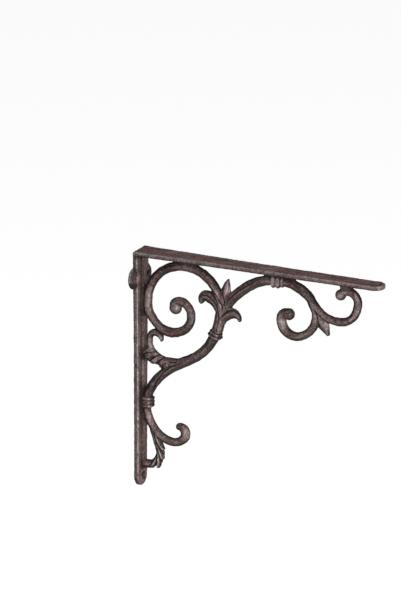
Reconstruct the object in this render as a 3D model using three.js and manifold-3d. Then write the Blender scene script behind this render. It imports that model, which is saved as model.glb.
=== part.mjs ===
// Ornate cast iron shelf bracket: a wall plate and a shelf arm, both ribbed, with scrollwork
// and leaves between them, all one casting.
// Millimetres. X runs out from the wall, Y across the bracket, Z up. The origin is on the flat
// back of the wall plate, midway between the two screw ears.
import * as THREE from 'three';
import { mergeVertices } from 'three/addons/utils/BufferGeometryUtils.js';
import Module from 'manifold-3d';

const wasm = await Module();
wasm.setup();

// Driving dimensions of the two legs
const ARM_LENGTH = 250;
const PLATE_HEIGHT = 223;
const CORNER_WIDTH = 24;
const ARM_TIP_WIDTH = 18.7;
const PLATE_TIP_WIDTH = 18.6;
const ARM_THICKNESS = 4;
const PLATE_THICKNESS = 4.6;
const EDGE_CHAMFER = 0.6;
const WAIST_SHARE = 0.45;

// The rib that stiffens both legs on their inner sides
const ARM_RIB_HEIGHT = 2.4;
const PLATE_RIB_HEIGHT = 1.8;
const RIB_ROOT_WIDTH = 7;
const RIB_CREST_WIDTH = 3.4;
const RIB_RUN_OUT = 9;
const RIB_END_HEIGHT = 0.3;
const ROOT_OVERLAP = 1;

// Screw ears, foot pad and holes
const EAR_DROP = 25.4;
const EAR_SPACING = 22;
const EAR_BASE_RADIUS = 10;
const EAR_FACE_RADIUS = 6.4;
const EAR_THICKNESS = 4.8;
const EAR_EDGE = 1.3;
const PAD_MARGIN = 0.9;
const PAD_FACE_RADIUS = 5.9;
const PAD_THICKNESS = 5.6;
const SCREW_HOLE_RADIUS = 2.4;
const COUNTERSINK_RADIUS = 4;
const COUNTERSINK_DEPTH = 2;
const SHELF_HOLE_RADIUS = 3;
const SHELF_HOLE_INSET = 6.8;
const CUT_BEYOND = 1;

// Sections of the scrollwork, each with two bevels that meet in a soft ridge
const SCROLL_WIDTH = 8.4;
const SCROLL_THICKNESS = 8.8;
const CURL_WIDTH = 7.8;
const STEM_WIDTH = 8.8;
const SMALL_SCROLL_WIDTH = 6.6;
const OUTER_SCROLL_WIDTH = 7.4;
const SCROLL_EDGE = 3.4;
const SCROLL_CREST = 1.8;
const LEAF_THICKNESS = 7.6;
const LEAF_EDGE = 2;
const LEAF_BODY_THICKNESS = 6.6;
const BEAD_PROUD = 1.4;
const NECK_BEAD_PROUD = 2.2;
const CROWN_BEAD_PROUD = 2.2;
const EYE_THICKNESS = 10.4;
const LEAN_IN = 0.5;
const WEB_THICKNESS = 3;

// How a leaf is shaped along its length, as shares of its widest section
const LEAF_TIP_SHARE = 0.3;
const LEAF_CREST_SHARE = 0.16;

// Lengths of the beads in the three collars, and how far a bead swells at its middle
const NECK_BEAD = 3.4;
const CROWN_BEAD = 4.4;
const STEM_BEAD = 3.4;
const NECK_HEADING = 68;
const BEAD_SWELL = [[-0.5, 0.8], [-0.3, 0.97], [0, 1.03], [0.3, 0.97], [0.5, 0.8]];

// Facets
const MAX_TURN = THREE.MathUtils.degToRad(13);
const MAX_RUN = 9;
const ROUND_SIDES = 24;
const EYE_SIDES = 14;
const EYE_ROWS = 10;
const BEAD_SIDES = 12;
const TIP_FACETS = 14;
const SAMPLES_PER_POINT = 24;
const ARC_STEP = 30;

// Levels that follow from the dimensions above
const armTop = EAR_DROP;
const armUnderside = armTop - ARM_THICKNESS;
const armRibFace = armUnderside - ARM_RIB_HEIGHT;
const plateRibFace = PLATE_THICKNESS + PLATE_RIB_HEIGHT;
const plateFoot = armTop - PLATE_HEIGHT;
const padCentre = plateFoot + PLATE_TIP_WIDTH / 2;

// The scrollwork is drawn on a grid of its own. Its zero lines are where the middle of a scroll
// runs when the scroll leans on a rib; the clear reach and the clear drop are shared out from them.
const GRID_REACH = 100;
const GRID_DROP = 88.7;
const scrollLean = SCROLL_WIDTH / 2 - LEAN_IN;
const gridX = plateRibFace + scrollLean;
const gridZ = armRibFace - scrollLean;
const stepX = (ARM_LENGTH - gridX) / GRID_REACH;
const stepZ = (gridZ - plateFoot) / GRID_DROP;
const onGrid = (x, z) => [gridX + x * stepX, gridZ + z * stepZ];

// Solids and their joining

function solidOf(geometry) {
  const bare = geometry.index ? geometry.toNonIndexed() : geometry.clone();
  bare.deleteAttribute('normal');
  bare.deleteAttribute('uv');
  const merged = mergeVertices(bare, 1e-4);
  return new wasm.Manifold(new wasm.Mesh({
    numProp: 3,
    vertProperties: new Float32Array(merged.attributes.position.array),
    triVerts: new Uint32Array(merged.index.array),
  }));
}

function geometryOf(solid) {
  const mesh = solid.getMesh();
  const geometry = new THREE.BufferGeometry();
  geometry.setAttribute('position', new THREE.BufferAttribute(mesh.vertProperties, 3));
  geometry.setIndex(new THREE.BufferAttribute(mesh.triVerts, 1));
  geometry.computeVertexNormals();
  return geometry;
}

const joined = (solids) => solids.reduce((whole, next) => whole.add(next));

// A closed loft through rings of equal length, with a flat cap at each end
function loft(rings) {
  const sides = rings[0].length;
  const positions = rings.flat().flatMap((point) => point.toArray());
  const faces = [];
  for (let r = 0; r + 1 < rings.length; r += 1) {
    for (let s = 0; s < sides; s += 1) {
      const here = r * sides + s;
      const beside = r * sides + ((s + 1) % sides);
      faces.push(here, beside + sides, beside, here, here + sides, beside + sides);
    }
  }
  const last = (rings.length - 1) * sides;
  for (let s = 1; s + 1 < sides; s += 1) {
    faces.push(0, s, s + 1, last, last + s + 1, last + s);
  }
  const geometry = new THREE.BufferGeometry();
  geometry.setAttribute('position', new THREE.Float32BufferAttribute(positions, 3));
  geometry.setIndex(faces);
  return solidOf(geometry);
}

// Curves of the scrollwork. A curve point is (x, width, z), so the width follows the curve too.

const through = (points, width) => points.map(([x, z, own]) => {
  const [realX, realZ] = onGrid(x, z);
  return new THREE.Vector3(realX, own ?? width, realZ);
});

// Points on a compass arc about a grid centre
function arc([x, z], radius, fromDegrees, toDegrees, width) {
  const count = Math.ceil(Math.abs(toDegrees - fromDegrees) / ARC_STEP);
  return Array.from({ length: count + 1 }, (_, i) => {
    const angle = THREE.MathUtils.degToRad(fromDegrees + ((toDegrees - fromDegrees) * i) / count);
    return [x + radius * Math.cos(angle), z + radius * Math.sin(angle), width];
  });
}

// Stations along a curve, one wherever it has turned or run far enough
function stationsAlong(points) {
  const curve = new THREE.CatmullRomCurve3(points, false, 'centripetal');
  const fine = curve.getPoints(points.length * SAMPLES_PER_POINT);
  const headings = fine.map((point, i) => {
    const ahead = fine[Math.min(i + 1, fine.length - 1)];
    const behind = fine[Math.max(i - 1, 0)];
    return new THREE.Vector2(ahead.x - behind.x, ahead.z - behind.z).normalize();
  });
  const kept = [0];
  for (let i = 1; i < fine.length - 1; i += 1) {
    const from = kept[kept.length - 1];
    const turned = Math.acos(THREE.MathUtils.clamp(headings[i].dot(headings[from]), -1, 1));
    const run = Math.hypot(fine[i].x - fine[from].x, fine[i].z - fine[from].z);
    if (turned > MAX_TURN || run > MAX_RUN) kept.push(i);
  }
  kept.push(fine.length - 1);
  return kept.map((i) => ({ point: fine[i], heading: headings[i], width: fine[i].y }));
}

// The ring of one station: a section of [across, deep] pairs set square to the heading
function ringAt({ point, heading }, section) {
  return section.map(([across, deep]) => new THREE.Vector3(
    point.x - heading.y * across,
    deep,
    point.z + heading.x * across,
  ));
}

// Section with a flat edge on each side and a soft ridge on each face
function ridged(width, thickness, edge, crest) {
  const [side, face] = [width / 2, thickness / 2];
  const [lip, top] = [edge / 2, crest / 2];
  return [
    [side, -lip], [side, lip], [top, face], [-top, face],
    [-side, lip], [-side, -lip], [-top, -face], [top, -face],
  ];
}

// A scroll bar, whose thickness falls with its width where it tapers
function scroll(points, fullWidth = SCROLL_WIDTH) {
  return loft(stationsAlong(points).map((station) => {
    const share = Math.min(1, station.width / fullWidth);
    const section = ridged(
      station.width, SCROLL_THICKNESS * share, SCROLL_EDGE * share, SCROLL_CREST * share);
    return ringAt(station, section);
  }));
}

// A leaf or a lobe of one, thinner towards its tip
function leaf(points, thickness = LEAF_THICKNESS) {
  const stations = stationsAlong(points);
  const widest = Math.max(...stations.map((station) => station.width));
  return loft(stations.map((station) => {
    const share = LEAF_TIP_SHARE + (1 - LEAF_TIP_SHARE) * (station.width / widest);
    const section = ridged(
      station.width, thickness * share, LEAF_EDGE * share, station.width * LEAF_CREST_SHARE);
    return ringAt(station, section);
  }));
}

// The eye of a volute, a low button on both faces
function eye([x, z], radius) {
  const [realX, realZ] = onGrid(x, z);
  const geometry = new THREE.SphereGeometry(1, EYE_SIDES, EYE_ROWS);
  geometry.scale(radius * stepX, EYE_THICKNESS / 2, radius * stepZ);
  geometry.translate(realX, 0, realZ);
  return solidOf(geometry);
}

// One bead of a collar round a scroll, at a grid point and square to a heading in degrees
function bead([x, z], degrees, length, width, thickness) {
  const [realX, realZ] = onGrid(x, z);
  const angle = THREE.MathUtils.degToRad(degrees);
  const heading = new THREE.Vector2(Math.cos(angle), Math.sin(angle));
  return loft(BEAD_SWELL.map(([along, size]) => {
    const point = new THREE.Vector3(
      realX + heading.x * along * length, 0, realZ + heading.y * along * length);
    const section = Array.from({ length: BEAD_SIDES }, (_, i) => {
      const turn = (i / BEAD_SIDES) * 2 * Math.PI;
      const squareness = 1 / Math.sqrt(Math.hypot(Math.cos(turn) ** 2, Math.sin(turn) ** 2));
      return [
        Math.cos(turn) * squareness * (width / 2) * size,
        Math.sin(turn) * squareness * (thickness / 2) * size,
      ];
    });
    return ringAt({ point, heading }, section);
  }));
}

// Flat web that ties a scroll to the rib it leans on
function web(fromX, toX, fromZ, toZ) {
  const geometry = new THREE.BoxGeometry(toX - fromX, WEB_THICKNESS, toZ - fromZ);
  geometry.translate((fromX + toX) / 2, 0, (fromZ + toZ) / 2);
  return solidOf(geometry);
}

// The legs

// Flat bar drawn lengthwise along X, its sides curving in from the corner to a rounded tip
function legBar(length, tipWidth, thickness) {
  const tipRadius = tipWidth / 2 - EDGE_CHAMFER;
  const corner = CORNER_WIDTH / 2 - EDGE_CHAMFER;
  const tipCentre = length - tipWidth / 2;
  const shape = new THREE.Shape();
  shape.moveTo(EDGE_CHAMFER, -corner);
  shape.quadraticCurveTo(WAIST_SHARE * length, -tipRadius, tipCentre, -tipRadius);
  shape.absarc(tipCentre, 0, tipRadius, -Math.PI / 2, Math.PI / 2);
  shape.quadraticCurveTo(WAIST_SHARE * length, tipRadius, EDGE_CHAMFER, corner);
  const geometry = new THREE.ExtrudeGeometry(shape, {
    depth: thickness - 2 * EDGE_CHAMFER,
    bevelThickness: EDGE_CHAMFER,
    bevelSize: EDGE_CHAMFER,
    bevelSegments: 1,
    curveSegments: TIP_FACETS,
  });
  geometry.translate(0, 0, EDGE_CHAMFER);
  return geometry;
}

// Rib on a leg: a wide root, a narrow crest and a run-out at its far end
function legRib(length, fullHeight) {
  const section = (height) => [
    [-RIB_ROOT_WIDTH / 2, -ROOT_OVERLAP], [-RIB_ROOT_WIDTH / 2, 0],
    [-RIB_CREST_WIDTH / 2, height], [RIB_CREST_WIDTH / 2, height],
    [RIB_ROOT_WIDTH / 2, 0], [RIB_ROOT_WIDTH / 2, -ROOT_OVERLAP],
  ];
  const stations = [
    [ROOT_OVERLAP, fullHeight], [length - RIB_RUN_OUT, fullHeight], [length, RIB_END_HEIGHT],
  ];
  return stations.map(([x, height]) => (
    section(height).map(([y, z]) => new THREE.Vector3(x, y, z))));
}

// The arm lies with its flat side up, so its rib points down
function arm() {
  const bar = legBar(ARM_LENGTH, ARM_TIP_WIDTH, ARM_THICKNESS);
  bar.translate(0, 0, armUnderside);
  const [ribEnd] = onGrid(90, 0);
  const rib = legRib(ribEnd, ARM_RIB_HEIGHT).map((ring) => (
    ring.map(({ x, y, z }) => new THREE.Vector3(x, -y, armUnderside - z))));
  return joined([solidOf(bar), loft(rib)]);
}

// The wall plate hangs from the corner with its rib pointing away from the wall
function plate() {
  const bar = legBar(PLATE_HEIGHT, PLATE_TIP_WIDTH, PLATE_THICKNESS);
  bar.rotateY(Math.PI / 2);
  bar.translate(0, 0, armTop);
  const [, ribFoot] = onGrid(0, -83);
  const rib = legRib(armTop - ribFoot, PLATE_RIB_HEIGHT).map((ring) => (
    ring.map(({ x, y, z }) => new THREE.Vector3(PLATE_THICKNESS + z, y, armTop - x))));
  return joined([solidOf(bar), loft(rib)]);
}

// A round drafted boss standing on the wall, with its axis along X
function boss(baseRadius, faceRadius, thickness, edge, y, z) {
  const profile = [[0, 0], [baseRadius, 0], [baseRadius, edge], [faceRadius, thickness], [0, thickness]];
  const geometry = new THREE.LatheGeometry(
    profile.map(([radius, height]) => new THREE.Vector2(radius, height)), ROUND_SIDES);
  geometry.rotateZ(-Math.PI / 2);
  geometry.translate(0, y, z);
  return solidOf(geometry);
}

// A countersunk screw hole along X, opened from a face at the given height
function screwHole(face, y, z) {
  const profile = [
    [0, -CUT_BEYOND], [SCREW_HOLE_RADIUS, -CUT_BEYOND], [SCREW_HOLE_RADIUS, face - COUNTERSINK_DEPTH],
    [COUNTERSINK_RADIUS, face], [COUNTERSINK_RADIUS, face + CUT_BEYOND], [0, face + CUT_BEYOND],
  ];
  const geometry = new THREE.LatheGeometry(
    profile.map(([radius, height]) => new THREE.Vector2(radius, height)), ROUND_SIDES);
  geometry.rotateZ(-Math.PI / 2);
  geometry.translate(0, y, z);
  return solidOf(geometry);
}

// The shelf screw hole through the tip of the arm
function shelfHole() {
  const geometry = new THREE.CylinderGeometry(
    SHELF_HOLE_RADIUS, SHELF_HOLE_RADIUS, ARM_THICKNESS + 2 * CUT_BEYOND, ROUND_SIDES);
  geometry.rotateX(Math.PI / 2);
  geometry.translate(ARM_LENGTH - SHELF_HOLE_INSET, 0, armTop - ARM_THICKNESS / 2);
  return solidOf(geometry);
}

// The scrollwork, from the wall outwards

// Large open volute between the two legs, springing from the neck of the palmette
function largeVolute() {
  const points = through([
    [30.4, -18.6], [30.9, -14.6],
    ...arc([15.7, -15.5], 15.5, 12, 96),
    ...arc([15.5, -15.9], 15.9, 122, 192),
    [2.1, -22.6, 7.4], [4, -24.8, 7.4],
    ...arc([9.8, -17.6], 9.4, 247, 300),
    ...arc([11.4, -19.6], 6.8, 322, 378, CURL_WIDTH),
    [15.3, -14.6, CURL_WIDTH], [12.6, -14.2, CURL_WIDTH], [10.9, -15.3, 7.2], [10.5, -17.2, 5.6],
  ], SCROLL_WIDTH);
  return joined([scroll(points), eye([11.6, -17], 2.5)]);
}

// Arch from the palmette up under the arm, coiling back below it
function archVolute() {
  const points = through([
    [30.4, -18.4], [32, -15.2], [33.8, -12.3, 9.2], [36, -9.6, 9.6], [40.6, -5.5, 9.8],
    [44.7, -2.8, 9.6], [48.7, -1.1, 9], [52.9, -0.3], [56.6, -0.1], [60.5, -0.6],
    [63.8, -1.8, 9.2], [66.7, -3.5, 9.2], [68.9, -5.7], [70.2, -8.5],
    ...arc([61.6, -11.7], 9.6, 5, -80, 7.8),
    [59.9, -20.7, 8.2], [57.6, -19, 8.8], [56.5, -16.4, 9], [56.6, -13.9, 9], [57.9, -12.4, 8],
    [59.3, -12.7, 6],
  ], SCROLL_WIDTH);
  return joined([scroll(points), eye([59.6, -12.8], 2.3)]);
}

// Outer scroll, running on from the arch and coiling up against the arm
function outerVolute() {
  const points = through([
    [66.3, -3.6], [68.5, -5.3], [70.4, -7.4], [72.2, -9.6], [74.5, -11.4], [77.5, -12.6],
    ...arc([81, -5.2], 7.8, -95, -10, OUTER_SCROLL_WIDTH),
    ...arc([84.7, -4.6], 4.2, 12, 95, OUTER_SCROLL_WIDTH),
    [82.6, -0.8], [81.5, -1.9, 6],
  ], SMALL_SCROLL_WIDTH);
  return joined([scroll(points, SMALL_SCROLL_WIDTH), eye([81.6, -2.1], 2.2)]);
}

// Stem from the collar down to the wall plate, ending in the small hook below it
function stemAndHook() {
  const points = through([
    [30.9, -15.8, 10], [30.1, -20.4, 10.6], [28.9, -24.1, 10.2], [27.5, -27.1, 9.6],
    [25.9, -29.7, 9.2], [24.1, -32, 9.2], [21.1, -34.6, 9.2], [17.5, -36.8, 9.2], [14, -38.5, 9.8],
    [10.5, -40.5, 9.2], [7.5, -42.7, 9], [4.9, -45, 9], [2.7, -47.5, 8.8], [1, -50.1, 8.6],
    [-0.2, -52.9], [-0.6, -58.1, 7.6], [-0.1, -60.9, 7.6], [1.1, -63.6, 7.6], [3, -66.3, 7.4],
    [5.6, -68.5, 7.4], [8.4, -69.8, 7.4], [11.2, -70.1, 7.4],
    [13.9, -69.2, 8], [15.6, -67.3, 8.6], [15.7, -65.4, 8.6], [14.8, -64.1, 8], [13.4, -63.6, 7],
    [12.1, -64.1, 4.2],
  ], STEM_WIDTH);
  return scroll(points, STEM_WIDTH);
}

// The palmette: two curled leaves and a spike between them, above the collar
function palmette() {
  const spike = through(
    [[31.2, -15.8, 8], [32, -11.6, 10.2], [32.8, -7.9, 10.6], [33.4, -5, 7], [34, -2.6, 1.4]]);
  const inner = through(
    [[30.6, -16.6, 7], [29, -12.9, 10.4], [26.6, -10.9, 11.6], [24.2, -10.5, 10.4], [22.9, -11.5, 8.2],
      [22.5, -12.8, 5.8], [22.5, -13.7, 2.6]]);
  const outer = through(
    [[30.4, -21.2, 6], [31.9, -18, 10.6], [34, -16.3, 10.2], [36.4, -15.8, 9.4], [38.3, -16.9, 6.2],
      [38.9, -18.7, 2.6]]);
  return joined([leaf(spike), leaf(inner), leaf(outer)]);
}

// The pointed bud in the fork of the arch and the outer scroll
function forkBud() {
  return leaf(through([[70.6, -8.6, 5], [72.5, -12, 12], [74.6, -15.3, 11.6], [76.4, -19, 2.4]]));
}

// A leaf made of a curling spine, a body beside it and fuller lobes that spread over both
function lobedLeaf(spine, body, lobes) {
  return joined([
    leaf(through(spine)),
    leaf(through(body), LEAF_BODY_THICKNESS),
    ...lobes.map((lobe) => leaf(through(lobe))),
  ]);
}

// Leaf that turns off the stem towards the wall and curls up to the large volute
function wallLeaf() {
  return lobedLeaf(
    [[16.5, -37.8, 5], [13.5, -38.4, 7.2], [10, -38.8, 8.8], [6.6, -38.5, 8.2], [3.4, -36.9, 7],
      [1.1, -34.2, 6.2], [0.6, -31.2, 6], [1.2, -28.7, 6], [3.3, -27.8, 6.8], [5.1, -28.7, 6.2],
      [5.7, -30.4, 3.4], [5.5, -31.1, 1]],
    [[9.5, -38.9, 6], [4.6, -38.8, 9.2], [1.6, -38.3, 8.4], [-2.2, -36.2, 7.4]],
    [
      [[1.4, -33, 3.6], [0.8, -34.4, 6.2], [-1.8, -36.3, 6]],
      [[3.8, -35.9, 3.6], [2.3, -36.6, 6], [0, -37.3, 6], [-1.4, -37.6, 5]],
      [[6.6, -37.4, 3.6], [4.6, -38.2, 6.2], [2.6, -39.3, 5.6], [1.5, -39.9, 3.4]],
      [[9.3, -38.1, 3.6], [7.4, -39, 6.4], [6, -40.3, 5.8], [5.1, -41.1, 3]],
    ],
  );
}

// Leaf that drops from the hook and turns back to the foot of the plate
function footLeaf() {
  return lobedLeaf(
    [[0.9, -63, 5], [2.4, -67.6, 6], [3.5, -70.4, 6.6], [4.5, -73.2, 6.6], [4.8, -75.6, 6.4],
      [3.9, -78, 7.2], [2.2, -79.6, 7.4], [0, -80.1, 8], [-1.7, -80.1, 8]],
    [[3.4, -69, 4], [5.2, -73, 8], [5.2, -76.5, 7.6], [4, -79.6, 6]],
    [
      [[3, -67.4, 3.6], [4.2, -70, 5], [5.5, -72.2, 5.2], [6.7, -73.8, 3.4]],
      [[4, -71, 3.6], [5.1, -73.6, 5], [5.9, -75.9, 5.2], [6.2, -77.4, 3.4]],
      [[4.4, -74, 3.6], [4.8, -76.6, 5], [4.7, -79, 5.2], [4.2, -81, 3]],
      [[3.9, -76.4, 3.6], [3.2, -78.6, 5], [2.2, -80.4, 4.6], [1.6, -81.2, 3]],
    ],
  );
}

// Collars: rows of beads round the neck, round the crown of the arch and round the stem
function collars() {
  const round = (width, proud) => [width + 2 * proud, SCROLL_THICKNESS + 2 * proud];
  const rows = [
    bead([28.7, -24.2], NECK_HEADING, NECK_BEAD, ...round(SCROLL_WIDTH, BEAD_PROUD)),
    bead([28.4, -25.5], NECK_HEADING, NECK_BEAD, ...round(SCROLL_WIDTH, NECK_BEAD_PROUD)),
    bead([57.3, -0.2], 0, CROWN_BEAD / 2, ...round(SCROLL_WIDTH, CROWN_BEAD_PROUD / 2)),
  ];
  for (const x of [53.6, 55.5]) {
    rows.push(bead([x, -0.2], 0, CROWN_BEAD, ...round(SCROLL_WIDTH, CROWN_BEAD_PROUD)));
  }
  for (const z of [-54.1, -55.5, -56.9]) {
    rows.push(bead([-0.2, z], 90, STEM_BEAD, ...round(SCROLL_WIDTH, BEAD_PROUD)));
  }
  return joined(rows);
}

// Webs where the scrolls lean on the ribs
function webs() {
  const spans = [[11, 20.5], [51.5, 62.4], [81.5, 86.6]];
  const parts = spans.map(([from, to]) => (
    web(onGrid(from, 0)[0], onGrid(to, 0)[0], gridZ, armRibFace + LEAN_IN)));
  const [, low] = onGrid(0, -20);
  const [, high] = onGrid(0, -11);
  parts.push(web(plateRibFace - LEAN_IN, gridX, low, high));
  return joined(parts);
}

const earCentres = [-EAR_SPACING / 2, EAR_SPACING / 2];
const padRadius = PLATE_TIP_WIDTH / 2 - PAD_MARGIN;

const casting = joined([
  arm(),
  plate(),
  ...earCentres.map((y) => boss(EAR_BASE_RADIUS, EAR_FACE_RADIUS, EAR_THICKNESS, EAR_EDGE, y, 0)),
  boss(padRadius, PAD_FACE_RADIUS, PAD_THICKNESS, PLATE_THICKNESS, 0, padCentre),
  largeVolute(),
  archVolute(),
  outerVolute(),
  stemAndHook(),
  palmette(),
  forkBud(),
  wallLeaf(),
  footLeaf(),
  collars(),
  webs(),
]);
const holes = joined([
  ...earCentres.map((y) => screwHole(EAR_THICKNESS, y, 0)),
  screwHole(PAD_THICKNESS, 0, padCentre),
  shelfHole(),
]);

const castIron = new THREE.MeshStandardMaterial({ color: 0x5a4b4b, roughness: 0.62, metalness: 0.55 });
const bracket = new THREE.Mesh(geometryOf(casting.subtract(holes)), castIron);
bracket.name = 'cast_bracket';

const group = new THREE.Group();
group.add(bracket);
export default group;
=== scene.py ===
# Ornate cast iron shelf bracket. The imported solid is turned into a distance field, softened like
# a casting, carved with its fine relief and meshed again as one finely modelled piece.
# Metres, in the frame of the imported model: X out from the wall, Y across, Z up.
import math

import bpy
import numpy as np
import openvdb as vdb
from mathutils import Matrix, Vector


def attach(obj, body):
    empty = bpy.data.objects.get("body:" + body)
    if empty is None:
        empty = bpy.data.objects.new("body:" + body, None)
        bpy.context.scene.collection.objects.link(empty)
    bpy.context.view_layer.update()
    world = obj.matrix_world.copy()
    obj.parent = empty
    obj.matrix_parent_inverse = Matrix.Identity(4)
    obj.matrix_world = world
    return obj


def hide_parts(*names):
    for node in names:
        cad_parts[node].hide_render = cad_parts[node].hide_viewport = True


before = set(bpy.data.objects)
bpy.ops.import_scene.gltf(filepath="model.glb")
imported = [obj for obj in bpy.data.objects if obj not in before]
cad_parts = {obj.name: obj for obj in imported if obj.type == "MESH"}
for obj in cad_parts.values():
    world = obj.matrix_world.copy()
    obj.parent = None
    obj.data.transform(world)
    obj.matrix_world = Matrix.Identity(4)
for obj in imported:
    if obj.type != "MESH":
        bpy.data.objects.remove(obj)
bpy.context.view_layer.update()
scene = bpy.context.scene
rng = np.random.default_rng(11)

# The camera: the photograph's view, which is near enough a parallel one

FRAME_WIDTH, FRAME_HEIGHT = 401, 601
AZIMUTH, ELEVATION = math.radians(27.0), math.radians(17.1)
PIXELS_PER_METRE = 1104.0
CAMERA_DISTANCE = 3.0
# A point near the top corner, and the pixel of the photograph where it shows
ANCHOR = Vector((0.0, -0.0112, 0.0254))
ANCHOR_PIXEL = (132.8, 251.8)
MIDDLE = Vector((0.11, 0.0, -0.08))


def make_camera():
    right = Vector((math.cos(AZIMUTH), math.sin(AZIMUTH), 0.0))
    back = Vector((
        math.sin(AZIMUTH) * math.cos(ELEVATION),
        -math.cos(AZIMUTH) * math.cos(ELEVATION),
        math.sin(ELEVATION),
    ))
    up = back.cross(right)
    data = bpy.data.cameras.new("camera")
    data.type = "ORTHO"
    data.ortho_scale = FRAME_HEIGHT / PIXELS_PER_METRE
    data.clip_start, data.clip_end = 0.01, 100.0
    camera = bpy.data.objects.new("camera", data)
    scene.collection.objects.link(camera)
    aim = (
        ANCHOR
        + right * (FRAME_WIDTH / 2 - ANCHOR_PIXEL[0]) / PIXELS_PER_METRE
        - up * (FRAME_HEIGHT / 2 - ANCHOR_PIXEL[1]) / PIXELS_PER_METRE
    )
    aim += back * (MIDDLE - aim).dot(back)
    turn = Matrix((right, up, back)).transposed()
    camera.matrix_world = Matrix.Translation(aim + back * CAMERA_DISTANCE) @ turn.to_4x4()
    scene.camera = camera


make_camera()

# The casting as a distance field, negative inside and in metres. Blurs, the band beyond which the
# distance is cut off and the margin round the part are in voxels.

VOXEL = 0.0005
MARGIN = 10
BAND = 6
BLUR_REACH = 2.6
FILLET_BLUR, FILLET_LIFT = 2.2, 0.00005
CRISP_BLUR, CRISP_SHARE = 3.0, 0.2
SOFT_BLUR = 0.9


def node_field(node):
    """The field of a CAD node, and the index of its first voxel."""
    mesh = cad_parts[node].data
    points = np.empty(len(mesh.vertices) * 3, dtype=np.float32)
    mesh.vertices.foreach_get("co", points)
    mesh.calc_loop_triangles()
    faces = np.empty(len(mesh.loop_triangles) * 3, dtype=np.int32)
    mesh.loop_triangles.foreach_get("vertices", faces)
    points = points.reshape(-1, 3)
    first = np.floor(points.min(axis=0) / VOXEL).astype(int) - MARGIN
    last = np.ceil(points.max(axis=0) / VOXEL).astype(int) + MARGIN
    grid = vdb.FloatGrid.createLevelSetFromPolygons(
        points, triangles=faces.reshape(-1, 3).astype(np.uint32),
        transform=vdb.createLinearTransform(voxelSize=VOXEL), halfWidth=float(BAND))
    distances = np.full(tuple(last - first + 1), BAND * VOXEL, dtype=np.float32)
    grid.copyToArray(distances, ijk=tuple(int(v) for v in first))
    return distances, first


def blur(volume, sigma):
    """Separable Gaussian blur, sigma in voxels."""
    reach = int(math.ceil(BLUR_REACH * sigma))
    taps = np.exp(-0.5 * (np.arange(-reach, reach + 1) / sigma) ** 2)
    taps = (taps / taps.sum()).astype(np.float32)
    for axis in range(3):
        size = volume.shape[axis]
        padding = [(0, 0)] * 3
        padding[axis] = (reach, reach)
        wide = np.pad(volume, padding, mode="edge")
        spread = np.zeros_like(volume)
        for i, weight in enumerate(taps):
            window = [slice(None)] * 3
            window[axis] = slice(i, i + size)
            spread += weight * wide[tuple(window)]
        volume = spread
    return volume


field, low = node_field("cast_bracket")
SIZE = field.shape

# Fillets in the inner corners, then crisper ridges, then the soft edges of a casting
field = np.minimum(field, blur(field, FILLET_BLUR) + FILLET_LIFT)
field += CRISP_SHARE * (field - blur(field, CRISP_BLUR))
field = blur(field, SOFT_BLUR)

# Fine relief, drawn on the grid of the scrollwork: (across, down) in steps of 2.4 mm

GRID_X, GRID_Z, GRID_STEP = 0.0101, 0.0153, 0.0024
LINE_SPACING = 0.0004
# A stroke keeps this share of its depth at its ends, and reaches full depth over the fade, which
# is a share of its length
END_SHARE = 0.25
STROKE_FADE = 0.25
NOTCH_FADE = 1e-6

FOOT_LEAF_NOTCHES = [
    [[6.5, -73.8], [7.6, -74.7]],
    [[5.8, -77.3], [6.9, -78.5]],
    [[3.4, -79.9], [3.8, -81.8]],
]
WALL_LEAF_FILLS = [
    [[1.9, -35.4], [0.5, -36.1], [-1.0, -36.8]],
    [[1.6, -37.0], [0.2, -37.9], [-0.8, -38.4]],
    [[4.6, -37.2], [3.0, -38.2], [1.8, -39.0]],
    [[7.0, -38.4], [5.8, -39.4], [5.0, -40.2]],
    [[9.3, -38.9], [8.0, -39.7], [6.8, -40.8]],
    [[9.4, -39.6], [8.3, -40.3], [7.2, -41.2]],
]
PALMETTE_CREASES = [
    [[27.4, -7.1], [28.9, -8.4], [30.5, -10.6], [31.8, -12.9], [32.3, -14.5]],
    [[32.0, -6.0], [32.2, -8.2], [32.7, -10.8], [33.0, -12.8]],
    [[44.8, -2.4], [42.2, -3.8], [38.6, -6.5], [36.3, -8.6], [34.4, -11.0], [33.3, -13.9]],
    [[23.3, -10.0], [25.9, -10.1], [28.2, -11.6], [29.8, -14.1], [30.5, -16.7], [30.5, -19.2],
     [29.8, -22.3], [29.7, -23.4]],
    [[39.6, -16.9], [38.0, -15.1], [35.7, -14.5], [33.4, -15.7], [32.1, -17.1]],
    [[34.1, -18.3], [32.8, -20.7], [32.3, -23.2]],
]
COLLAR_GROOVES = [
    [[26.6, -22.8], [29.0, -24.0], [31.2, -24.6], [32.6, -24.7]],
    [[26.4, -24.1], [28.8, -25.3], [30.9, -26.1], [32.4, -26.2]],
]
WALL_LEAF_CREASES = [
    [[3.0, -35.3], [1.1, -35.8], [-0.8, -36.2]],
    [[5.0, -36.4], [3.5, -37.2], [1.8, -38.4]],
    [[7.4, -36.9], [5.6, -38.1], [4.2, -39.6]],
    [[12.4, -38.2], [11.0, -38.3], [9.6, -38.5]],
]
WALL_LEAF_RIBS = [
    [[2.6, -32.8], [1.0, -34.3], [-1.0, -35.4]],
    [[4.4, -35.2], [2.3, -36.5], [-0.6, -37.5]],
    [[6.8, -36.9], [4.6, -38.2], [2.6, -39.6]],
    [[9.6, -37.5], [7.6, -38.6], [5.6, -40.6]],
]
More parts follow.
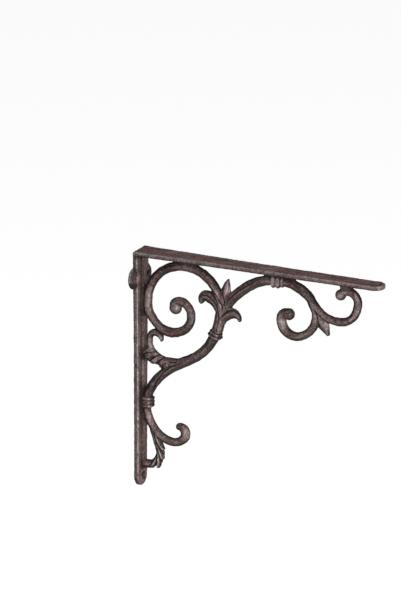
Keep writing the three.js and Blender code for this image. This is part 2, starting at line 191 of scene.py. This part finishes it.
FOOT_LEAF_CREASES = [
    [[2.6, -67.0], [3.4, -69.4], [4.0, -71.6]],
    [[3.6, -69.5], [4.8, -72.2], [6.0, -74.4], [6.9, -75.2]],
    [[4.4, -73.0], [5.3, -75.9], [5.6, -78.2], [5.7, -79.4]],
    [[4.2, -76.0], [4.0, -78.6], [3.4, -80.4], [3.0, -81.3]],
    [[3.4, -77.2], [2.2, -79.0], [1.2, -80.2], [0.8, -81.6]],
]
FOOT_LEAF_RIBS = [
    [[3.0, -67.4], [4.2, -70.0], [5.5, -72.2], [6.6, -73.6]],
    [[4.2, -71.4], [5.1, -73.6], [5.9, -75.9], [6.2, -77.2]],
    [[4.5, -74.4], [4.8, -76.6], [4.7, -79.0], [4.3, -80.6]],
    [[3.8, -76.8], [3.2, -78.6], [2.2, -80.4]],
]
BUD_CREASES = [
    [[71.5, -9.6], [72.1, -11.3], [72.5, -12.9], [72.9, -15.7]],
    [[72.2, -10.1], [73.8, -11.6], [75.6, -12.7], [77.1, -13.9]],
]
STEM_CREASES = [
    [[15.3, -37.7], [12.8, -38.9], [10.2, -40.2], [7.7, -42.3], [5.6, -44.8], [3.9, -47.4],
     [2.6, -50.3]],
]
# Lines, width, depth and fade. A negative depth is raised.
STROKES = [
    (FOOT_LEAF_NOTCHES, 0.0006, 0.0014, NOTCH_FADE),
    (WALL_LEAF_FILLS, 0.0014, -0.0014, STROKE_FADE),
    (PALMETTE_CREASES, 0.0006, 0.0007, STROKE_FADE),
    (COLLAR_GROOVES, 0.0006, 0.0006, STROKE_FADE),
    (WALL_LEAF_CREASES, 0.0005, 0.0006, STROKE_FADE),
    (WALL_LEAF_RIBS, 0.0005, -0.0005, STROKE_FADE),
    (FOOT_LEAF_CREASES, 0.0005, 0.0006, STROKE_FADE),
    (FOOT_LEAF_RIBS, 0.0005, -0.0004, STROKE_FADE),
    (BUD_CREASES, 0.0006, 0.0006, STROKE_FADE),
    (STEM_CREASES, 0.0007, 0.0007, STROKE_FADE),
]
# Lines in which dirt has gathered
DARK_LINES = (
    PALMETTE_CREASES + COLLAR_GROOVES + WALL_LEAF_CREASES + FOOT_LEAF_CREASES + BUD_CREASES
    + STEM_CREASES)

xs = (low[0] + np.arange(SIZE[0])) * VOXEL
zs = (low[2] + np.arange(SIZE[2])) * VOXEL


def smooth_line(points):
    """Points of a smooth curve through grid points, in metres."""
    p = np.array([[GRID_X + x * GRID_STEP, GRID_Z + z * GRID_STEP] for x, z in points])
    p = np.vstack([2 * p[0] - p[1], p, 2 * p[-1] - p[-2]])
    line = []
    for a, b, c, d in zip(p[:-3], p[1:-2], p[2:-1], p[3:]):
        count = max(2, int(np.hypot(*(c - b)) / LINE_SPACING))
        t = (np.arange(count) / count)[:, None]
        line.append(0.5 * (
            2 * b + (c - a) * t + (2 * a - 5 * b + 4 * c - d) * t ** 2
            + (3 * b - a - 3 * c + d) * t ** 3))
    return np.vstack(line + [p[-2:-1]])


def stroke(points, width, depth, fade):
    """Carves a groove along a line on both faces, or raises a rib where depth is negative."""
    line = smooth_line(points)
    reach = 3 * width
    i0, i1 = np.searchsorted(xs, [line[:, 0].min() - reach, line[:, 0].max() + reach])
    k0, k1 = np.searchsorted(zs, [line[:, 1].min() - reach, line[:, 1].max() + reach])
    gx, gz = np.meshgrid(xs[i0:i1], zs[k0:k1], indexing="ij")
    away = np.hypot(gx[..., None] - line[:, 0], gz[..., None] - line[:, 1])
    along = away.argmin(axis=-1) / (len(line) - 1)
    ends = np.clip(np.minimum(along, 1 - along) / fade, 0, 1)
    profile = np.exp(-((away.min(axis=-1) / width) ** 2))
    cut = depth * profile * (END_SHARE + (1 - END_SHARE) * ends)
    field[i0:i1, :, k0:k1] += cut[:, None, :].astype(np.float32)


for lines, width, depth, fade in STROKES:
    for line in lines:
        stroke(line, width, depth, fade)

# The skin of a sand casting: a slight unevenness and fine grains, each by size in voxels and height

UNEVENNESS = (6.0, 0.00006)
GRAINS = (1.6, 0.00006)

smooth_field = field.copy()


def noise_volume(sigma):
    """Smooth noise over the field, of mean 0 and deviation 1, drawn coarse and stretched."""
    coarse = max(1, int(sigma))
    shape = tuple(s // coarse + 2 for s in SIZE)
    lump = blur(rng.standard_normal(shape, dtype=np.float32), sigma / coarse)
    lump = (lump - lump.mean()) / lump.std()
    for axis in range(3):
        at = np.arange(SIZE[axis]) / coarse
        i = at.astype(int)
        along_axis = [-1 if a == axis else 1 for a in range(3)]
        share = (at - i).astype(np.float32).reshape(along_axis)
        lump = np.take(lump, i, axis=axis) * (1 - share) + np.take(lump, i + 1, axis=axis) * share
    return lump


for sigma, swell in (UNEVENNESS, GRAINS):
    field += swell * noise_volume(sigma)

# Meshing

MOST_TRIANGLES = 190000


def field_mesh(name):
    grid = vdb.FloatGrid()
    grid.transform = vdb.createLinearTransform(voxelSize=VOXEL)
    grid.background = BAND * VOXEL
    grid.copyFromArray(field, ijk=tuple(int(v) for v in low))
    grid.gridClass = vdb.GridClass.LEVEL_SET
    points, _, quads = grid.convertToPolygons(isovalue=0.0, adaptivity=0.0)
    mesh = bpy.data.meshes.new(name)
    mesh.from_pydata(points.tolist(), [], quads[:, ::-1].tolist())
    mesh.update()
    return mesh


def thinned_mesh(name):
    dense = bpy.data.objects.new("dense", field_mesh("dense"))
    scene.collection.objects.link(dense)
    thin = dense.modifiers.new("thin", "DECIMATE")
    thin.ratio = min(1.0, MOST_TRIANGLES / (2 * len(dense.data.polygons)))
    thin.use_collapse_triangulate = True
    graph = bpy.context.evaluated_depsgraph_get()
    mesh = bpy.data.meshes.new_from_object(dense.evaluated_get(graph))
    bpy.data.objects.remove(dense)
    mesh.name = name
    for polygon in mesh.polygons:
        polygon.use_smooth = True
    return mesh


shape = thinned_mesh("bracket")
bracket = bpy.data.objects.new("bracket", shape)
scene.collection.objects.link(bracket)

# Where the finish is worn and where dirt stays, and where shade and highlights are painted into the
# colour, read at each vertex and kept as attributes

NEAR_BLUR, WIDE_BLUR = 1.6, 4.0
# The scrollwork lies beyond the plate's rib and below the arm's
SCROLLWORK_X, SCROLLWORK_Z = 0.0068, 0.0188
# How sheltered a place is: the share of iron round a point before it, in a field of half detail
SHELTER_STEP, SHELTER_BLUR, SHELTER_OFFSET = 2, 7.0, 0.007
EAR_Y = 0.011
LINE_MARGIN = 0.003
DARK_LINE_REACH, RUBBED_AND_HIGHLIGHT_LINE_REACH = 0.0006, 0.0010

# Spots that hands and cloths have rubbed, partly painted highlights on facets turned to the light,
# and dull ones, partly painted shade under the arm, by grid point, radius and strength
RUBBED_AND_HIGHLIGHT_SPOTS = [
    (34.6, -6.5, 0.0050, 1.0), (32.0, -12.6, 0.0060, 0.6), (53.6, 0.0, 0.0060, 0.8),
    (12.6, -16.1, 0.0045, 0.7), (57.5, -16.0, 0.0060, 0.9), (83.5, 0.2, 0.0050, 0.9),
    (72.0, -12.0, 0.0060, 0.7), (1.0, -33.0, 0.0055, 0.8), (16.4, 0.2, 0.0090, 0.5),
    (5.0, -69.0, 0.0060, 0.4), (30.0, -21.0, 0.0040, 0.4), (1.0, -15.0, 0.0100, 0.4),
    (1.5, -61.0, 0.0070, 0.6), (16.2, -65.6, 0.0045, 0.9), (4.0, -38.5, 0.0070, 0.5),
    (75.6, -14.6, 0.0035, 0.9), (82.0, -2.2, 0.0025, 0.9),
]
DULL_AND_SHADED_SPOTS = [
    (69.3, -5.4, 0.0080, 0.8), (89.2, -4.6, 0.0070, 0.7), (19.5, -20.5, 0.0060, 0.6),
    (39.2, -17.5, 0.0040, 0.8), (27.6, -29.4, 0.0050, 0.5), (14.0, -63.6, 0.0040, 0.6),
    (61.0, -21.5, 0.0070, 0.5), (76.0, -18.0, 0.0040, 0.6), (28.5, -5.5, 0.0050, 0.5),
]
# Bright lines along crests and flanks: rubbed iron and painted highlights
RUBBED_AND_HIGHLIGHT_LINES = [
    [[88.1, -0.5], [90.2, -4.4], [89.3, -7.9], [86.3, -11.2]],
    [[56.6, -12.5], [56.0, -14.8], [56.6, -17.0], [58.1, -19.0]],
    [[16.5, -11.8], [18.5, -13.5], [19.8, -16.3], [19.8, -19.2], [18.8, -21.8]],
]


def vertex_vectors(name):
    values = np.empty(len(shape.vertices) * 3, dtype=np.float32)
    shape.vertices.foreach_get(name, values)
    return values.reshape(-1, 3)


places, normals = vertex_vectors("co"), vertex_vectors("normal")
from_wall, across, height = places[:, 0], np.abs(places[:, 1]), places[:, 2]


def at_vertices(volume, points):
    """Values of a volume of the field's size at points, blended from the voxels round each."""
    p = points / VOXEL - low
    i = np.clip(np.floor(p).astype(int), 0, np.array(SIZE) - 2)
    t = (p - i).astype(np.float32)
    total = np.zeros(len(p), dtype=np.float32)
    for dx in (0, 1):
        for dy in (0, 1):
            for dz in (0, 1):
                weight = (
                    (t[:, 0] if dx else 1 - t[:, 0])
                    * (t[:, 1] if dy else 1 - t[:, 1])
                    * (t[:, 2] if dz else 1 - t[:, 2]))
                total += weight * volume[i[:, 0] + dx, i[:, 1] + dy, i[:, 2] + dz]
    return total


def clip01(values):
    return np.clip(values, 0.0, 1.0)


def above(values, start, blend):
    """0 up to the start, then rising to 1 over the blend."""
    return clip01((values - start) / blend)


def below(values, end, blend):
    """0 from the end on, and 1 where a blend or more below it."""
    return clip01((end - values) / blend)


def spots(places_and_sizes):
    total = np.zeros(len(places))
    for x, z, radius, strength in places_and_sizes:
        away = np.hypot(
            from_wall - GRID_X - x * GRID_STEP, height - GRID_Z - z * GRID_STEP)
        total += strength * np.exp(-(away / radius) ** 2)
    return clip01(total)


def along_lines(lines, reach):
    """How near each vertex of the broad faces is to the lines: 1 on a line."""
    nearest = np.full(len(places), 1.0)
    for line in map(smooth_line, lines):
        start, end = line.min(axis=0) - LINE_MARGIN, line.max(axis=0) + LINE_MARGIN
        inside = np.flatnonzero(
            (from_wall > start[0]) & (from_wall < end[0])
            & (height > start[1]) & (height < end[1]))
        away = np.hypot(from_wall[inside, None] - line[:, 0], height[inside, None] - line[:, 1])
        nearest[inside] = np.minimum(nearest[inside], away.min(axis=1))
    return np.exp(-(nearest / reach) ** 2) * clip01(2.0 * np.abs(normals[:, 1]))


def shelter():
    """The share of iron round a point in front of each vertex."""
    step = SHELTER_STEP
    iron = (smooth_field[::step, ::step, ::step] < 0).astype(np.float32)
    share = blur(iron, SHELTER_BLUR)
    before = (places + SHELTER_OFFSET * normals) / (step * VOXEL) - low / step
    i, j, k = (
        np.clip(np.rint(before[:, a]).astype(int), 0, share.shape[a] - 1) for a in range(3))
    return share[i, j, k]


def paint(name, values):
    attribute = shape.attributes.new(name, "FLOAT", "POINT")
    attribute.data.foreach_set("value", np.ascontiguousarray(values, dtype=np.float32))


# How far each place stands out of its close and its wider surroundings, in voxels
near = at_vertices(blur(smooth_field, NEAR_BLUR) - smooth_field, places) / VOXEL
wide = at_vertices(blur(smooth_field, WIDE_BLUR) - smooth_field, places) / VOXEL

# The steep sides of the scrollwork are near its outline, seen square on
scrollwork = above(from_wall, SCROLLWORK_X, 0.001) * below(height, SCROLLWORK_Z, 0.001)
middle = places.copy()
middle[:, 1] = 0
inward = -at_vertices(smooth_field, middle)

# The countersinks of the ears' screw holes are lightened: worn iron and a painted highlight
screw_seats = (
    below(np.hypot(across - EAR_Y, height), 0.0046, 0.0005)
    * below(from_wall, 0.0065, 0.0005) * above(from_wall, 0.0015, 0.0005))
# Places darkened below: the ears with painted shade, and the sides and edges of plate and arm and
# the arm's tip as dull iron with some painted shade
plate_side = below(from_wall, 0.0046, 0.0005) * below(np.abs(normals[:, 0]), 0.75, 0.5)
arm_side = (
    above(height, 0.0218, 0.0006) * above(np.abs(normals[:, 1]), 0.5, 1 / 3)
    * above(across, 0.0070, 0.0010))
plate_back_edge = below(from_wall, 0.0018, 0.0010) * above(across, 0.0070, 0.0010)
arm_low_edge = (
    below(height, 0.0232, 0.0008) * above(height, 0.0195, 0.001)
    * above(across, 0.0080, 0.0010) * above(from_wall, 0.006, 0.002))
ears = above(across, 0.0118, 0.0008) * below(np.abs(height), 0.013, 0.001)
arm_tip = above(from_wall, 0.232, 0.008)

paint("edge", above(near, 0.30, 0.40))
paint("crest", above(wide, 1.2, 0.5))
paint("hollow", 0.9 * below(near, 0.0, 0.30) + 0.6 * below(wide, 0.0, 0.9))
paint("groove", along_lines(DARK_LINES, DARK_LINE_REACH))
paint("flank", scrollwork * below(inward, 0.0013, 0.0009))
# Sheltered places turn redder below, and darker: the darkening is painted shade
paint("sheltered", above(shelter(), 0.03, 0.17))
# Rubbed and polished iron, partly painted highlights
paint("polish_and_highlight", np.maximum.reduce([
    spots(RUBBED_AND_HIGHLIGHT_SPOTS), along_lines(RUBBED_AND_HIGHLIGHT_LINES, RUBBED_AND_HIGHLIGHT_LINE_REACH), 0.9 * screw_seats]))
# Dull iron, partly painted shade
paint("dull_and_shade", np.maximum.reduce([
    spots(DULL_AND_SHADED_SPOTS), plate_back_edge, arm_low_edge, 0.8 * ears, 0.5 * arm_tip,
    0.25 * plate_side, 0.4 * arm_side]))

# The finish, with painted shade and painted highlights in its colour

# Colours; the worn one also serves for painted highlights
DARK = (0.007, 0.0042, 0.0038, 1)
BROWN = (0.066, 0.046, 0.042, 1)
RED = (0.080, 0.034, 0.031, 1)
WORN_AND_HIGHLIGHT = (0.29, 0.252, 0.245, 1)

# Scale, detail, roughness and stretch of each noise
EVEN = (1.0, 1.0, 1.0)
CLOUDS = (38.0, 4.0, 0.55, EVEN)
BLOTCHES = (170.0, 4.0, 0.65, EVEN)
STREAKS = (260.0, 3.0, 0.6, (0.16, 1.0, 0.16))
GRAIN = (620.0, 3.0, 0.6, EVEN)
SPECKS = (1100.0, 2.0, 0.6, EVEN)

# How much each cause adds to the grime and painted shade, to the rubbed iron and painted
# highlights, and to the roughness
CLOUD_RED, UPWARD_RED, SHELTER_RED = 0.8, 0.8, 0.8
# Faces turned down and to the left, and sheltered places, are darkened with painted shade
UNDER_SHADE, LEFT_SHADE, FLANK_GRIME, SHELTER_SHADE = 0.85, 0.55, 0.65, 0.2
POLISH_AND_HIGHLIGHT_CLEANS = 0.7
GRAIN_GRIME, DULL_AND_SHADE_WEIGHT, GROOVE_GRIME = 0.5, 0.75, 0.9
EDGE_RUBBED, POLISH_AND_HIGHLIGHT_RUBBED, FLECK_RUBBED, STREAK_RUBBED = 0.8, 0.6, 0.32, 0.3
METAL_SHARE = 0.8
SPECULAR_LEVEL = 0.2
RUBBED_SMOOTH, GRIME_ROUGH, UPWARD_ROUGH = 0.14, 0.35, 0.12
SPECK_HEIGHT = 0.5
BUMP_STRENGTH, BUMP_DISTANCE = 0.6, 0.00022


def finish_material():
    material = bpy.data.materials.new("cast_iron")
    material.use_nodes = True
    tree = material.node_tree
    nodes, links = tree.nodes, tree.links
    nodes.clear()

    def node(kind, **settings):
        made = nodes.new(kind)
        for key, value in settings.items():
            if key in made.inputs:
                made.inputs[key].default_value = value
            else:
                setattr(made, key, value)
        return made

    def feed(source, socket):
        """Links a socket to another, or sets it to a number or colour."""
        if isinstance(source, (int, float, tuple)):
            socket.default_value = source
        else:
            links.new(source, socket)

    def maths(operation, a, b, clamp=False):
        made = node("ShaderNodeMath", operation=operation, use_clamp=clamp)
        feed(a, made.inputs[0])
        feed(b, made.inputs[1])
        return made.outputs[0]

    def times(a, b):
        return maths("MULTIPLY", a, b)

    def plus(total, source, weight=1.0):
        """The sum, kept between 0 and 1."""
        return maths("ADD", total, source if weight == 1.0 else times(source, weight), True)

    def ramp(source, start, end, first=0.0, last=1.0):
        made = node("ShaderNodeMapRange", interpolation_type="SMOOTHSTEP")
        for key, value in (("Value", source), ("From Min", start), ("From Max", end),
                           ("To Min", first), ("To Max", last)):
            feed(value, made.inputs[key])
        return made.outputs["Result"]

    def mixed(amount, first, second):
        made = node("ShaderNodeMix", data_type="RGBA")
        feed(amount, made.inputs["Factor"])
        feed(first, made.inputs[6])
        feed(second, made.inputs[7])
        return made.outputs[2]

    def attribute(name):
        return node("ShaderNodeAttribute", attribute_name=name).outputs["Fac"]

    place = node("ShaderNodeTexCoord")

    def noise(scale, detail, roughness, stretch):
        mapping = node("ShaderNodeMapping", Scale=stretch)
        links.new(place.outputs["Object"], mapping.inputs["Vector"])
        made = node("ShaderNodeTexNoise", Scale=scale, Detail=detail, Roughness=roughness)
        links.new(mapping.outputs["Vector"], made.inputs["Vector"])
        return made.outputs["Fac"]

    clouds, blotches, streaks, grain, specks = (
        noise(*values) for values in (CLOUDS, BLOTCHES, STREAKS, GRAIN, SPECKS))
    edge, crest, hollow, groove, flank, sheltered, polish_and_highlight, dull_and_shade = (attribute(n) for n in (
        "edge", "crest", "hollow", "groove", "flank", "sheltered", "polish_and_highlight", "dull_and_shade"))
    facing = node("ShaderNodeSeparateXYZ")
    links.new(place.outputs["Normal"], facing.inputs[0])
    upward = ramp(facing.outputs["Z"], 0.6, 0.95)
    # Faces turned down and to the left are darkened below: painted shade
    under = ramp(facing.outputs["Z"], 0.05, -0.65)
    leftward = ramp(facing.outputs["X"], 0.0, -0.7)

    redness = plus(ramp(clouds, 0.42, 0.62, 0.0, CLOUD_RED), upward, UPWARD_RED)
    redness = plus(redness, sheltered, SHELTER_RED)
    base = mixed(redness, BROWN, RED)
    base = mixed(ramp(blotches, 0.50, 0.70, 0.0, 0.55), base, DARK)
    base = mixed(ramp(streaks, 0.53, 0.64, 0.0, 0.75), base, DARK)

    # Dirt in hollows, grains and lines, and painted shade on faces turned down or to the left, in
    # sheltered places and in part of the dull places
    grime_and_shade = times(hollow, ramp(grain, 0.2, 0.6, 0.5, 0.7))
    grime_and_shade = plus(grime_and_shade, under, UNDER_SHADE)
    grime_and_shade = plus(grime_and_shade, leftward, LEFT_SHADE)
    grime_and_shade = plus(grime_and_shade, flank, FLANK_GRIME)
    grime_and_shade = plus(grime_and_shade, sheltered, SHELTER_SHADE)
    grime_and_shade = times(grime_and_shade, maths("SUBTRACT", 1.0, times(polish_and_highlight, POLISH_AND_HIGHLIGHT_CLEANS)))
    grime_and_shade = plus(grime_and_shade, ramp(grain, 0.46, 0.36, 0.0, GRAIN_GRIME))
    grime_and_shade = plus(grime_and_shade, dull_and_shade, DULL_AND_SHADE_WEIGHT)
    grime_and_shade = plus(grime_and_shade, groove, GROOVE_GRIME)
    base = mixed(grime_and_shade, base, DARK)

    # Rubbed iron, with painted highlights where it is polished
    rubbed_and_highlight = times(edge, EDGE_RUBBED)
    rubbed_and_highlight = plus(rubbed_and_highlight, times(crest, ramp(streaks, 0.42, 0.56, 0.1, 0.5)))
    rubbed_and_highlight = plus(rubbed_and_highlight, polish_and_highlight, POLISH_AND_HIGHLIGHT_RUBBED)
    rubbed_and_highlight = times(rubbed_and_highlight, ramp(blotches, 0.36, 0.58, 0.25, 1.0))
    rubbed_and_highlight = plus(rubbed_and_highlight, ramp(grain, 0.52, 0.64), FLECK_RUBBED)
    rubbed_and_highlight = plus(rubbed_and_highlight, ramp(streaks, 0.46, 0.34), STREAK_RUBBED)
    rubbed_and_highlight = times(rubbed_and_highlight, maths("SUBTRACT", 1.0, grime_and_shade, True))
    base = mixed(rubbed_and_highlight, base, WORN_AND_HIGHLIGHT)

    rough = maths("SUBTRACT", ramp(grain, 0.3, 0.7, 0.36, 0.54), times(rubbed_and_highlight, RUBBED_SMOOTH))
    rough = plus(rough, grime_and_shade, GRIME_ROUGH)
    rough = plus(rough, upward, UPWARD_ROUGH)
    bump = node("ShaderNodeBump", Strength=BUMP_STRENGTH, Distance=BUMP_DISTANCE)
    links.new(maths("ADD", grain, times(specks, SPECK_HEIGHT)), bump.inputs["Height"])

    shader = node("ShaderNodeBsdfPrincipled")
    shader.inputs["Specular IOR Level"].default_value = SPECULAR_LEVEL
    for name, socket in (("Base Color", base), ("Metallic", times(rubbed_and_highlight, METAL_SHARE)),
                         ("Roughness", rough), ("Normal", bump.outputs[0])):
        links.new(socket, shader.inputs[name])
    output = node("ShaderNodeOutputMaterial")
    links.new(shader.outputs[0], output.inputs["Surface"])
    return material


shape.materials.clear()
shape.materials.append(finish_material())
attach(bracket, "root")
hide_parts("cast_bracket")

# Floor and light

FLOOR_LEVEL, FLOOR_REACH = -1.0, 14
FLOOR_COLOUR, FLOOR_ROUGHNESS, FLOOR_GLOW = (0.92, 0.92, 0.92, 1), 0.9, 0.75
WORLD_STRENGTH = 0.15


def make_floor():
    material = bpy.data.materials.new("floor")
    material.use_nodes = True
    shader = material.node_tree.nodes["Principled BSDF"]
    shader.inputs["Base Color"].default_value = FLOOR_COLOUR
    shader.inputs["Roughness"].default_value = FLOOR_ROUGHNESS
    shader.inputs["Emission Color"].default_value = (1, 1, 1, 1)
    shader.inputs["Emission Strength"].default_value = FLOOR_GLOW
    mesh = bpy.data.meshes.new("floor")
    corners = ((-1, -1), (1, -1), (1, 1), (-1, 1))
    mesh.from_pydata(
        [(x * FLOOR_REACH, y * FLOOR_REACH, FLOOR_LEVEL) for x, y in corners],
        [], [(0, 1, 2, 3)])
    mesh.materials.append(material)
    made = bpy.data.objects.new("floor", mesh)
    scene.collection.objects.link(made)
    return made


def lamp(name, azimuth, elevation, distance, size, power):
    """A square lamp aimed at the middle of the bracket and unseen by the camera."""
    a, e = math.radians(azimuth), math.radians(elevation)
    toward = Vector((math.sin(a) * math.cos(e), -math.cos(a) * math.cos(e), math.sin(e)))
    data = bpy.data.lights.new(name, "AREA")
    data.size = size
    data.energy = power
    made = bpy.data.objects.new(name, data)
    scene.collection.objects.link(made)
    made.location = MIDDLE + toward * distance
    made.rotation_mode = "QUATERNION"
    made.rotation_quaternion = toward.to_track_quat("Z", "Y")
    made.visible_camera = False


floor = make_floor()
lamp("key", 48, 12, 2.0, 1.2, 48)
lamp("high", 50, 68, 2.0, 1.4, 39)
lamp("behind", 215, -6, 2.2, 1.0, 22)

world = bpy.data.worlds.new("world")
world.use_nodes = True
background = world.node_tree.nodes["Background"]
background.inputs["Color"].default_value = (1, 1, 1, 1)
background.inputs["Strength"].default_value = WORLD_STRENGTH
scene.world = world
scene.view_settings.view_transform = "Standard"
scene.view_settings.look = "None"
